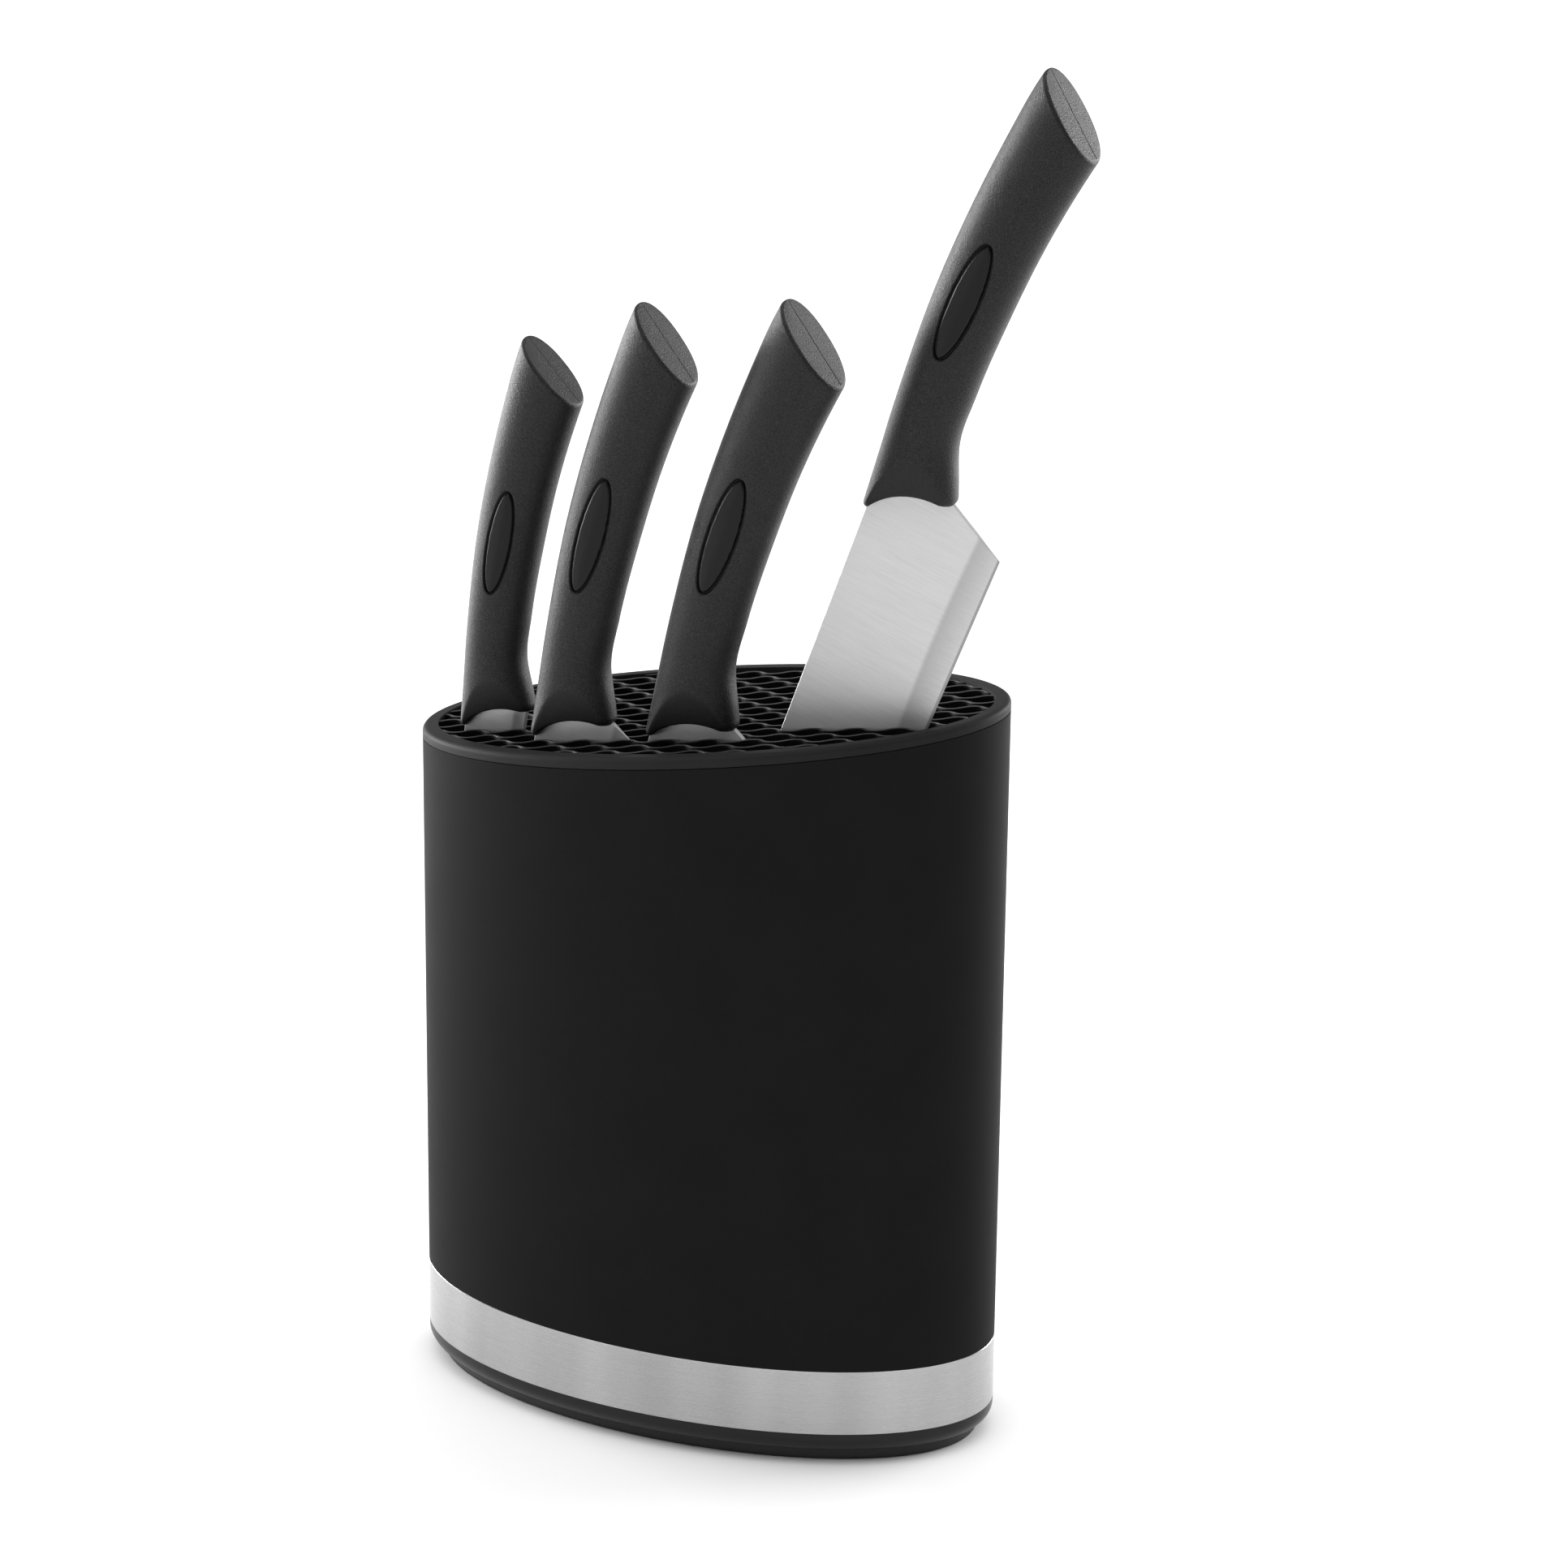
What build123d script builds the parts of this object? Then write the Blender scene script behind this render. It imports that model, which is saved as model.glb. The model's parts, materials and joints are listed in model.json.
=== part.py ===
"""Oval knife block with a lift-out insert of wavy fins and four knives.

Millimetres, +Z up. The origin is the centre of the underside. +X points to the
high end of the slanted top, +Y to the back, and the knives' faces look along Y.
"""

import os
from math import asin, cos, radians, sin, sqrt, tan

from build123d import *

# ---- block: an upright oval that widens slightly towards its slanted top ----
HALF_LENGTH = 87.5        # semi-axis along X at the rim
HALF_WIDTH = 47.4         # semi-axis along Y at the rim
FOOT_SCALE = 0.989        # size of the oval at the floor, against the rim
RIM_HEIGHT = 202.8        # top of the rim over the origin
TOP_SLOPE = 9.0           # degrees, rising towards +X
SHELL_WALL = 2.0
ABOVE_TOP = 240.0         # any height over the rim's high end

# ---- base, band and pad ----
PAD_HEIGHT = 3.5
PAD_INSET = 4.3
PAD_ROUNDING = 1.3
PAD_WALL = 9.0
PAD_RECESS = 2.0
BASE_TOP = 9.5            # the shell and the steel band stand on this ledge
BASE_ROUNDING = 4.5
BASE_FLOOR = 2.5
UPSTAND_HEIGHT = 8.0
UPSTAND_WALL = 2.0
UPSTAND_GAP = 0.1         # between the upstand and the shell around it
PAD_GAP = 0.2             # around the boss that fills the pad's recess
BAND_HEIGHT = 19.0
BAND_THICKNESS = 0.6

# ---- insert ----
RIM_THICKNESS = 3.2
RIM_WIDTH = 4.5
RIM_ROUNDING = 1.6
SEAM_GAP = 0.15
SLEEVE_WALL = 2.0
SLEEVE_BOTTOM = 20.0
LEDGE_THICKNESS = 2.0
LEDGE_WIDTH = 3.0

# ---- fins ----
FIN_COUNT = 16
FIN_PITCH = 5.2
FIN_THICKNESS = 0.8
FIN_WAVELENGTH = 12.9
FIN_AMPLITUDE = 1.2
FIN_PHASE = -6.25         # X of a backward crest on the rearmost fin
FIN_RECESS = 0.45         # how far the fins stay under the rim's top face
FIN_END_GAP = 0.1
FIN_END_STEP = 0.1        # how finely the ends are sought

# ---- knives ----
BLADE_THICKNESS = 1.5
EDGE_THICKNESS = 0.3


def oval(height, inset=0.0):
    """Semi-axes of the block's outline at a height, drawn in by an inset."""
    scale = FOOT_SCALE + (1 - FOOT_SCALE) * height / RIM_HEIGHT
    return HALF_LENGTH * scale - inset, HALF_WIDTH * scale - inset


def oval_face(height, inset):
    """The block's outline at a height, drawn in by an inset."""
    with BuildSketch(Plane.XY.offset(height)) as outline:
        Ellipse(*oval(height, inset))
    return outline.sketch.face()


def column(low, high, inset):
    """The two end faces of a stretch of the block's own column."""
    return oval_face(low, inset), oval_face(high, inset)


def slanted(drop):
    """The plane of the slanted top, lowered by a distance along Z."""
    slope = radians(TOP_SLOPE)
    return Plane(origin=(0, 0, RIM_HEIGHT - drop), x_dir=(cos(slope), 0, sin(slope)),
                 z_dir=(-sin(slope), 0, cos(slope)))


def finish(builder, label):
    builder.part.label = label
    export_step(builder.part, f"parts/{label}.step")
    print(label, "solids", len(builder.part.solids()), "volume", round(builder.part.volume))


os.makedirs("parts", exist_ok=True)

# ==== block ====

with BuildPart() as pad:
    with BuildSketch():
        Ellipse(*oval(0, PAD_INSET))
    extrude(amount=PAD_HEIGHT)
    fillet(pad.faces().sort_by(Axis.Z)[0].edges(), PAD_ROUNDING)
    with BuildSketch(Plane.XY.offset(PAD_HEIGHT - PAD_RECESS)):
        Ellipse(*oval(0, PAD_INSET + PAD_WALL))
    extrude(amount=PAD_RECESS, mode=Mode.SUBTRACT)
finish(pad, "non_slip_pad")

with BuildPart() as base:
    with BuildSketch(Plane.XY.offset(PAD_HEIGHT)):
        Ellipse(*oval(BASE_TOP))
    extrude(amount=BASE_TOP - PAD_HEIGHT)
    fillet(base.faces().sort_by(Axis.Z)[0].edges(), BASE_ROUNDING)
    upstand_top = BASE_TOP + UPSTAND_HEIGHT
    loft(column(BASE_TOP, upstand_top, SHELL_WALL + UPSTAND_GAP))
    loft(column(PAD_HEIGHT + BASE_FLOOR, upstand_top, SHELL_WALL + UPSTAND_WALL), mode=Mode.SUBTRACT)
    with BuildSketch(Plane.XY.offset(PAD_HEIGHT - PAD_RECESS)):
        Ellipse(*oval(0, PAD_INSET + PAD_WALL + PAD_GAP))
    extrude(amount=PAD_RECESS)
finish(base, "base_moulding")

with BuildPart() as band:
    loft(column(BASE_TOP, BASE_TOP + BAND_HEIGHT, 0))
    loft(column(BASE_TOP, BASE_TOP + BAND_HEIGHT, BAND_THICKNESS), mode=Mode.SUBTRACT)
finish(band, "steel_band")

with BuildPart() as shell:
    loft(column(BASE_TOP, ABOVE_TOP, BAND_THICKNESS))
    loft(column(BASE_TOP + BAND_HEIGHT, ABOVE_TOP, 0))
    loft(column(BASE_TOP, ABOVE_TOP, SHELL_WALL), mode=Mode.SUBTRACT)
    split(bisect_by=slanted(RIM_THICKNESS + SEAM_GAP), keep=Keep.BOTTOM)
finish(shell, "body_shell")

# ==== insert: rim, sleeve and fins ====

SLEEVE_INSET = RIM_WIDTH - SLEEVE_WALL

with BuildPart() as frame:
    loft(column(SLEEVE_BOTTOM, ABOVE_TOP, 0))
    split(bisect_by=slanted(RIM_THICKNESS), keep=Keep.TOP)
    split(bisect_by=slanted(0), keep=Keep.BOTTOM)
    rim_edge = frame.faces().sort_by(Axis.Z)[-1].edges()
    fillet(rim_edge, RIM_ROUNDING)
    with BuildPart(mode=Mode.PRIVATE) as sleeve:
        loft(column(SLEEVE_BOTTOM, ABOVE_TOP, SLEEVE_INSET))
        split(bisect_by=slanted(RIM_THICKNESS), keep=Keep.BOTTOM)
    add(sleeve.part)
    loft(column(SLEEVE_BOTTOM + LEDGE_THICKNESS, ABOVE_TOP, RIM_WIDTH), mode=Mode.SUBTRACT)
    loft(column(SLEEVE_BOTTOM, SLEEVE_BOTTOM + LEDGE_THICKNESS, RIM_WIDTH + LEDGE_WIDTH),
         mode=Mode.SUBTRACT)
finish(frame, "insert_frame")


# Each fin is a chain of equal arcs, which meet where its wave crosses its middle.
HALF_WAVE = FIN_WAVELENGTH / 2
FIN_RADIUS = (HALF_WAVE ** 2 / 4 + FIN_AMPLITUDE ** 2) / (2 * FIN_AMPLITUDE)
FIN_SLOPE = asin(HALF_WAVE / 2 / FIN_RADIUS)


def fin_rest(row):
    """Y of the straight line that a fin waves about."""
    return ((FIN_COUNT - 1) / 2 - row) * FIN_PITCH


def fin_bend(row, turn):
    """1 for a crest towards the back, -1 for one towards the front. Neighbours differ."""
    return 1 if (row + turn) % 2 == 0 else -1


def fin_arc(row, turn, offset):
    """Start, middle and end of one arc of a fin's side, at an offset from its centre line."""
    crest = FIN_PHASE + turn * HALF_WAVE
    bend = fin_bend(row, turn)
    across = HALF_WAVE / 2 + offset * bend * sin(FIN_SLOPE)
    level = fin_rest(row) + offset * cos(FIN_SLOPE)
    top = fin_rest(row) + bend * FIN_AMPLITUDE + offset
    return (crest - across, level), (crest, top), (crest + across, level)


def fin_turn(x):
    """The number of the arc at an X, counted from the middle of the fin."""
    return round((x - FIN_PHASE) / HALF_WAVE)


def fin_line(row, x):
    """Y of a fin's centre line."""
    turn = fin_turn(x)
    past_crest = x - FIN_PHASE - turn * HALF_WAVE
    rise = sqrt(FIN_RADIUS ** 2 - past_crest ** 2) - FIN_RADIUS + FIN_AMPLITUDE
    return fin_rest(row) + fin_bend(row, turn) * rise


def fin_end(row, side):
    """X where a fin, followed outwards from the middle, comes to the sleeve."""
    long_axis, short_axis = oval(SLEEVE_BOTTOM, RIM_WIDTH + FIN_END_GAP)
    step = FIN_END_STEP * side
    x = 0.0
    while True:
        y = abs(fin_line(row, x + step)) + FIN_THICKNESS / 2
        if (x / long_axis) ** 2 + (y / short_axis) ** 2 >= 1:
            return x
        x += step


for row in range(FIN_COUNT):
    half = FIN_THICKNESS / 2
    left, right = fin_end(row, -1), fin_end(row, 1)
    first, last = fin_turn(left) - 1, fin_turn(right) + 1
    with BuildPart() as fin:
        with BuildSketch(Plane.XY.offset(SLEEVE_BOTTOM + LEDGE_THICKNESS)):
            with BuildLine():
                for turn in range(first, last + 1):
                    ThreePointArc(*fin_arc(row, turn, -half))
                    ThreePointArc(*fin_arc(row, turn, half))
                for turn, end in ((first, 0), (last, 2)):
                    Line(fin_arc(row, turn, -half)[end], fin_arc(row, turn, half)[end])
            make_face()
            with Locations(((left + right) / 2, 0)):
                Rectangle(right - left, 2 * HALF_WIDTH, mode=Mode.INTERSECT)
        extrude(amount=ABOVE_TOP)
        split(bisect_by=slanted(FIN_RECESS), keep=Keep.BOTTOM)
    finish(fin, f"fin_{row + 1:02d}")


# ==== knives ====

def slot(row):
    """Y of the slot between a fin and the one in front of it."""
    return ((FIN_COUNT - 2) / 2 - row) * FIN_PITCH


# Every handle has the same shape, drawn here at the cook's knife's size. Its own axes
# are E, across the blade towards the cutting edge, and U, along it towards the butt.
# They start where the spine meets the handle.
# Stations: U, E of the spine side, E of the belly side, half thickness.
HANDLE_STATIONS = (
    (-6, 0.2, 29.0, 7.4),
    (8, -0.6, 26.0, 7.6),
    (17, -1.1, 22.6, 7.8),
    (28, -1.8, 18.5, 8.0),
    (42, -2.4, 18.0, 8.4),
    (66, -2.7, 19.0, 8.8),
    (91, -1.4, 21.4, 8.8),
    (116, 1.3, 25.8, 8.8),
    (128, 3.0, 28.6, 8.8),
    (140, 5.6, 31.4, 8.8),
)
HANDLE_REACH = 30.0           # any distance past the handle's sides
FOOT_SPINE = (1.0, -0.4)      # ends of the hollow line where the handle meets the blade
FOOT_BELLY = (22.5, 12.5)
FOOT_RISE = 3.7
BUTT_CENTRE = (15.4, 126.5)
BUTT_TILT = 41.2              # degrees between the butt's face and a square cut
FACET_HALF = 4.2              # half thickness where the pinch facets meet the foot
FACET_TILT = 15.6

# The blade inside the handle: a full-width shoulder and a narrower tang.
SPINE_LINE = 0.9
SHOULDER = (5.4, 7.9, 13.3)   # U at the spine and at the tang's two sides
TANG_SIDES = (5.0, 14.0)
TANG_TOP = 86.0

# How a blade's outline changes where its bevels begin, for each millimetre of bevel.
TIP_SHIFT = (-0.15, 0.8)
EDGE_BELLY = 1.5              # how full the curved part of the edge is


class Knife:
    """Where a knife stands, how big its handle is, and its blade's outline."""

    def __init__(self, name, row, foot, lean, length_scale, width_scale):
        self.name = name
        self.lean = radians(lean)
        self.origin = Vector(foot[0], slot(row), foot[1])
        self.across = Vector(cos(self.lean), 0, -sin(self.lean))
        self.along = Vector(sin(self.lean), 0, cos(self.lean))
        self.length_scale = length_scale
        self.width_scale = width_scale

    def size(self, e, u):
        """A point of the common handle drawing at this knife's size."""
        return e * self.width_scale, u * self.length_scale

    def place(self, e, u):
        """A point of the knife's middle plane in the block's frame."""
        return self.origin + self.across * e + self.along * u

    def side(self, offset=0.0):
        """The blade's middle plane or one beside it, with E along its X and U along its Y."""
        return Plane(origin=self.origin - Vector(0, offset, 0), x_dir=self.across, z_dir=(0, -1, 0))

    def section(self, u):
        """The plane square to the blade at a distance up it."""
        return Plane(origin=self.place(0, u), x_dir=self.across, z_dir=self.along)


def blade_face(knife, offset, shape, bevel):
    """The blade's outline with its tang, drawn in from the cutting edge by a bevel."""
    spine_turn, tip, edge_turn, heel, heel_top = shape
    (tip_e, tip_u), (turn_e, turn_u) = tip, edge_turn
    slope = (heel_top[1] - heel[1]) / (heel[0] - heel_top[0])
    tip = (tip_e + TIP_SHIFT[0] * bevel, tip_u + TIP_SHIFT[1] * bevel)
    edge_turn = (turn_e - bevel, turn_u)
    heel = (heel[0] - bevel, heel[1] + slope * bevel)
    spine_bend = (SPINE_LINE, (spine_turn + tip[1]) / 2)
    edge_bend = (turn_e - bevel - EDGE_BELLY, (2 * tip[1] + turn_u) / 3)
    with BuildSketch(knife.side(offset)) as face:
        with BuildLine():
            Line(knife.size(SPINE_LINE, SHOULDER[0]), (SPINE_LINE, spine_turn))
            Bezier((SPINE_LINE, spine_turn), spine_bend, tip)
            Bezier(tip, edge_bend, edge_turn)
            Polyline(
                edge_turn,
                heel,
                heel_top,
                knife.size(TANG_SIDES[1], SHOULDER[2]),
                knife.size(TANG_SIDES[1], TANG_TOP),
                knife.size(TANG_SIDES[0], TANG_TOP),
                knife.size(TANG_SIDES[0], SHOULDER[1]),
                knife.size(SPINE_LINE, SHOULDER[0]),
            )
        make_face()
    return face.sketch.face()


def make_blade(knife, shape, bevel):
    """A flat blade whose two bevels thin it down to the cutting edge."""
    edge = EDGE_THICKNESS / 2
    flat = BLADE_THICKNESS / 2
    with BuildPart() as blade:
        extrude(blade_face(knife, 0, shape, 0), amount=edge, both=True)
        for side in (-1, 1):
            foot = blade_face(knife, side * edge, shape, 0)
            flank = blade_face(knife, side * flat, shape, bevel)
            loft((foot, flank), ruled=True)
    return blade


def handle_body(knife):
    """The handle's smooth body before its ends and facets are cut."""
    sections = []
    for u, spine, belly, half in HANDLE_STATIONS:
        with BuildSketch(knife.section(u * knife.length_scale)) as section:
            with Locations((knife.width_scale * (spine + belly) / 2, 0)):
                Ellipse(knife.width_scale * (belly - spine) / 2, knife.width_scale * half)
        sections.append(section.sketch.face())
    with BuildPart() as body:
        loft(sections)
    return body


def make_handle(knife, blade):
    """The moulded handle: hollow foot, pinch facets and oblique butt."""
    spine_foot = Vector(*knife.size(*FOOT_SPINE))
    belly_foot = Vector(*knife.size(*FOOT_BELLY))
    middle = (spine_foot + belly_foot) / 2
    chord = (belly_foot - spine_foot).normalized()
    upward = Vector(-chord.Y, chord.X)
    half_chord = (belly_foot - spine_foot).length / 2
    rise = FOOT_RISE * knife.width_scale
    radius = (half_chord ** 2 + rise ** 2) / (2 * rise)
    centre = middle - upward * (radius - rise)
    foot_up = knife.across * upward.X + knife.along * upward.Y
    foot_chord = knife.across * chord.X + knife.along * chord.Y
    foot_middle = knife.place(middle.X, middle.Y)
    tilt = radians(BUTT_TILT)
    butt = Plane(origin=knife.place(*knife.size(*BUTT_CENTRE)),
                 z_dir=knife.across * sin(tilt) + knife.along * cos(tilt))
    facet_plane = Plane(origin=foot_middle, x_dir=foot_up, z_dir=foot_chord)
    with BuildPart() as handle:
        add(handle_body(knife).part)
        split(bisect_by=butt, keep=Keep.BOTTOM)
        split(bisect_by=Plane(origin=foot_middle, z_dir=foot_up), keep=Keep.TOP)
        with BuildSketch(knife.side()):
            with Locations((centre.X, centre.Y)):
                Circle(radius)
        extrude(amount=HANDLE_REACH, both=True, mode=Mode.SUBTRACT)
        with BuildSketch(facet_plane):
            near, far = -HANDLE_REACH / 2, 2 * HANDLE_REACH
            start = FACET_HALF * knife.width_scale
            slope = tan(radians(FACET_TILT))
            for side in (-1, 1):
                with BuildLine():
                    Polyline(
                        (near, side * (start + slope * near)),
                        (far, side * (start + slope * far)),
                        (far, side * HANDLE_REACH),
                        (near, side * HANDLE_REACH),
                        close=True,
                    )
                make_face()
        extrude(amount=2 * HANDLE_REACH, both=True, mode=Mode.SUBTRACT)
        add(blade.part, mode=Mode.SUBTRACT)
    return handle


# A knife and its blade: U where the spine starts to curve, tip, end of the curved
# edge, heel, and the heel's top under the handle, all in the knife's own E and U.
COOKS = Knife("cooks", 10, (52.5, 273.4), 20.2, 1.0, 1.0)
COOKS_BLADE = (-110, (20, -200), (38.6, -75), (41.1, 3.8), (20.5, 13.7))
SANTOKU = Knife("santoku", 12, (-6.9, 202.6), 15.6, 0.994, 1.03)
SANTOKU_BLADE = (-125, (27, -178), (41.0, -80), (42.0, 3.5), (21.0, 13.8))
UTILITY = Knife("utility", 12, (-42.2, 197.0), 12.4, 0.973, 0.965)
UTILITY_BLADE = (-62, (13, -150), (27.0, -72), (29.0, 9.0), (19.6, 13.6))
PARING = Knife("paring", 10, (-69.6, 192.6), 8.0, 0.863, 0.88)
PARING_BLADE = (-26, (9, -88), (18.4, -30), (19.4, 9.4), (15.0, 12.4))

for knife, shape, bevel in (
    (COOKS, COOKS_BLADE, 8.4),
    (SANTOKU, SANTOKU_BLADE, 8.4),
    (UTILITY, UTILITY_BLADE, 6.0),
    (PARING, PARING_BLADE, 4.5),
):
    blade = make_blade(knife, shape, bevel)
    finish(blade, f"{knife.name}_blade")
    finish(make_handle(knife, blade), f"{knife.name}_handle")
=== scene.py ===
"""Looks of the oval knife block: finer meshes for most pieces, materials, camera and light.

Lengths are in millimetres until a mesh is written, which is in metres. The frame has
its origin at the centre of the underside, +X towards the high end, +Y to the back.
The camera, floor and lights are in metres.
"""

import json
from math import atan2, cos, pi, radians, sin, tan

import bmesh
import bpy
import numpy as np
from mathutils import Matrix, Vector


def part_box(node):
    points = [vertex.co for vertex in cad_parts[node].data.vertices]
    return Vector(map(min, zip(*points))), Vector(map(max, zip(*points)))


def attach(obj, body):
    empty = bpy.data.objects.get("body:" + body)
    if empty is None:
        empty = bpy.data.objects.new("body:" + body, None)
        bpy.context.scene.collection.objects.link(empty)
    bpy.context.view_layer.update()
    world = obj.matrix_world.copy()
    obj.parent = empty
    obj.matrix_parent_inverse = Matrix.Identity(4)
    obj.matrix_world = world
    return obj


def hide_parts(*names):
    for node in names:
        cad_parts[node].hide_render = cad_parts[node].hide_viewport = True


MM = 0.001

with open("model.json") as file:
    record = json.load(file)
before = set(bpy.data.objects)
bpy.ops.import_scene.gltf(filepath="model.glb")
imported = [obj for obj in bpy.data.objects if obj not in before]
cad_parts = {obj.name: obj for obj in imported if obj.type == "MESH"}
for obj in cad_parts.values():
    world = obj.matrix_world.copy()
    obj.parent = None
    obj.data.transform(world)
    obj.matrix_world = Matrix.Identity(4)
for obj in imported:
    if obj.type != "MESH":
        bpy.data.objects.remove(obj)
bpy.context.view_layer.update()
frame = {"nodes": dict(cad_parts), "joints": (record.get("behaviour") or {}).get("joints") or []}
nodes = frame["nodes"]

# ==== camera ====

CAMERA_PLACE = (0.76975, -1.57244, 0.78599)
CAMERA_RIGHT = Vector((0.90159, 0.43247, 0.01001))
CAMERA_UP = Vector((-0.14974, 0.29030, 0.94515))
CAMERA_LENS = 153.29      # focal length and film width, in millimetres
CAMERA_FILM = 36.0


def make_camera():
    data = bpy.data.cameras.new("camera")
    data.lens = CAMERA_LENS
    data.sensor_width = CAMERA_FILM
    camera = bpy.data.objects.new("camera", data)
    back = CAMERA_RIGHT.cross(CAMERA_UP).normalized()
    right = CAMERA_UP.cross(back).normalized()
    up = back.cross(right)
    turn = Matrix((right, up, back)).transposed().to_4x4()
    camera.matrix_world = Matrix.Translation(CAMERA_PLACE) @ turn
    bpy.context.scene.collection.objects.link(camera)
    bpy.context.scene.camera = camera


make_camera()

# ==== materials ====

CLOUD_SIZE = 18           # of the faint cloudiness on plain plastic
CLOUD_GLOSS = 0.03        # how much smoother and rougher the clouds are
CLOUD_MATTE = 0.04
PEBBLE_SIZE = 0.33        # of the handles' grain
PEBBLE_DEPTH = 0.17
PEBBLE_TONE = (0.4, 0.72)  # grain heights between which the colour goes from dark to light
PEBBLE_GLOSS = 0.1
PEBBLE_MATTE = 0.12
CALM_LEVEL = 0.43         # grain height that the pinch facets are levelled to
LINE_SIZE = 0.1           # of the fine lines of brushed steel, and of their broader tones
LINE_TONE_SIZE = 0.35
LINE_DEPTH = 0.0012
LINE_GLOSS = 0.08
LINE_MATTE = 0.1
GROUND_SHADE = 0.5        # painted shade: tone of fully ground steel, against the rest
STREAK_SIZE = 22          # of the faint upright darker streaks on the band, a painted reflection
STREAK_STRETCH = (1, 1, 0.1)
STREAK_SHADE = 0.8


def grey(value):
    return (value, value, value)


class Paint:
    """A material under construction: its node tree and its main shader."""

    def __init__(self, name, color, roughness, metallic=0.0, specular=0.5):
        self.material = bpy.data.materials.new(name)
        self.material.use_nodes = True
        self.nodes = self.material.node_tree.nodes
        self.links = self.material.node_tree.links
        self.shader = self.nodes["Principled BSDF"]
        self.shader.inputs["Base Color"].default_value = (*color, 1.0)
        self.shader.inputs["Roughness"].default_value = roughness
        self.shader.inputs["Metallic"].default_value = metallic
        self.shader.inputs["Specular IOR Level"].default_value = specular
        self.place = self.nodes.new("ShaderNodeTexCoord").outputs["Object"]

    def stretched(self, turn=0.0, scale=(1, 1, 1)):
        """Object coordinates turned about Y, then stretched."""
        turned = self.nodes.new("ShaderNodeMapping")
        turned.inputs["Rotation"].default_value = (0, turn, 0)
        self.links.new(self.place, turned.inputs["Vector"])
        scaled = self.nodes.new("ShaderNodeMapping")
        scaled.inputs["Scale"].default_value = scale
        self.links.new(turned.outputs["Vector"], scaled.inputs["Vector"])
        return scaled.outputs["Vector"]

    def noise(self, size, vector=None, detail=2.0, roughness=0.5):
        """Noise whose blotches are about a size across, in millimetres."""
        node = self.nodes.new("ShaderNodeTexNoise")
        node.inputs["Scale"].default_value = 1 / (size * MM)
        node.inputs["Detail"].default_value = detail
        node.inputs["Roughness"].default_value = roughness
        self.links.new(vector or self.place, node.inputs["Vector"])
        return node.outputs["Fac"]

    def attribute(self, name):
        """A value stored on the mesh's points."""
        node = self.nodes.new("ShaderNodeAttribute")
        node.attribute_name = name
        return node.outputs["Fac"]

    def ranged(self, value, low, high, start=0.3, end=0.7):
        """A value mapped from start..end to low..high."""
        node = self.nodes.new("ShaderNodeMapRange")
        node.inputs["From Min"].default_value = start
        node.inputs["From Max"].default_value = end
        node.inputs["To Min"].default_value = low
        node.inputs["To Max"].default_value = high
        self.links.new(value, node.inputs["Value"])
        return node.outputs["Result"]

    def mixed(self, value, first, second, start=0.3, end=0.7):
        """A colour between two, by a value."""
        node = self.nodes.new("ShaderNodeMix")
        node.data_type = "RGBA"
        node.inputs["A"].default_value = (*first, 1.0)
        node.inputs["B"].default_value = (*second, 1.0)
        self.links.new(self.ranged(value, 0, 1, start, end), node.inputs["Factor"])
        return node.outputs["Result"]

    def levelled(self, value, level, share):
        """A value drawn towards a level, as far as a share from 0 to 1 says."""
        node = self.nodes.new("ShaderNodeMix")
        node.inputs["B"].default_value = level
        self.links.new(share, node.inputs["Factor"])
        self.links.new(value, node.inputs["A"])
        return node.outputs["Result"]

    def darkened(self, tone, share, shade):
        """A colour multiplied by a grey shade, as far as a share from 0 to 1 says."""
        node = self.nodes.new("ShaderNodeMix")
        node.data_type = "RGBA"
        node.blend_type = "MULTIPLY"
        node.inputs["B"].default_value = (*grey(shade), 1)
        self.links.new(share, node.inputs["Factor"])
        self.links.new(tone, node.inputs["A"])
        return node.outputs["Result"]

    def bump(self, height, depth):
        """Relief of a depth in millimetres."""
        node = self.nodes.new("ShaderNodeBump")
        node.inputs["Strength"].default_value = 1.0
        node.inputs["Distance"].default_value = depth * MM
        self.links.new(height, node.inputs["Height"])
        self.links.new(node.outputs["Normal"], self.shader.inputs["Normal"])

    def drive(self, value, socket):
        self.links.new(value, self.shader.inputs[socket])


def soft_touch(name, dark, light, roughness, grain, depth, specular=0.5):
    """Near-black moulded plastic: a fine grain, faint cloudiness and uneven satin."""
    paint = Paint(name, grey(dark), roughness, specular=specular)
    clouds = paint.noise(CLOUD_SIZE, detail=3)
    paint.drive(paint.mixed(clouds, grey(dark), grey(light)), "Base Color")
    paint.drive(paint.ranged(clouds, roughness - CLOUD_GLOSS, roughness + CLOUD_MATTE), "Roughness")
    paint.bump(paint.noise(grain, detail=2), depth)
    return paint.material


def pebbled(name, dark, light, roughness):
    """Handle plastic with a fine pebble grain whose tops catch the light, calmer on the pinch facets."""
    paint = Paint(name, dark, roughness, specular=0.28)
    grain = paint.noise(PEBBLE_SIZE, detail=1.5, roughness=0.6)
    pebbles = paint.levelled(grain, CALM_LEVEL, paint.attribute("pinch"))
    paint.drive(paint.mixed(pebbles, dark, light, *PEBBLE_TONE), "Base Color")
    paint.drive(paint.ranged(pebbles, roughness + PEBBLE_MATTE, roughness - PEBBLE_GLOSS), "Roughness")
    paint.bump(pebbles, PEBBLE_DEPTH)
    return paint.material


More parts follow.
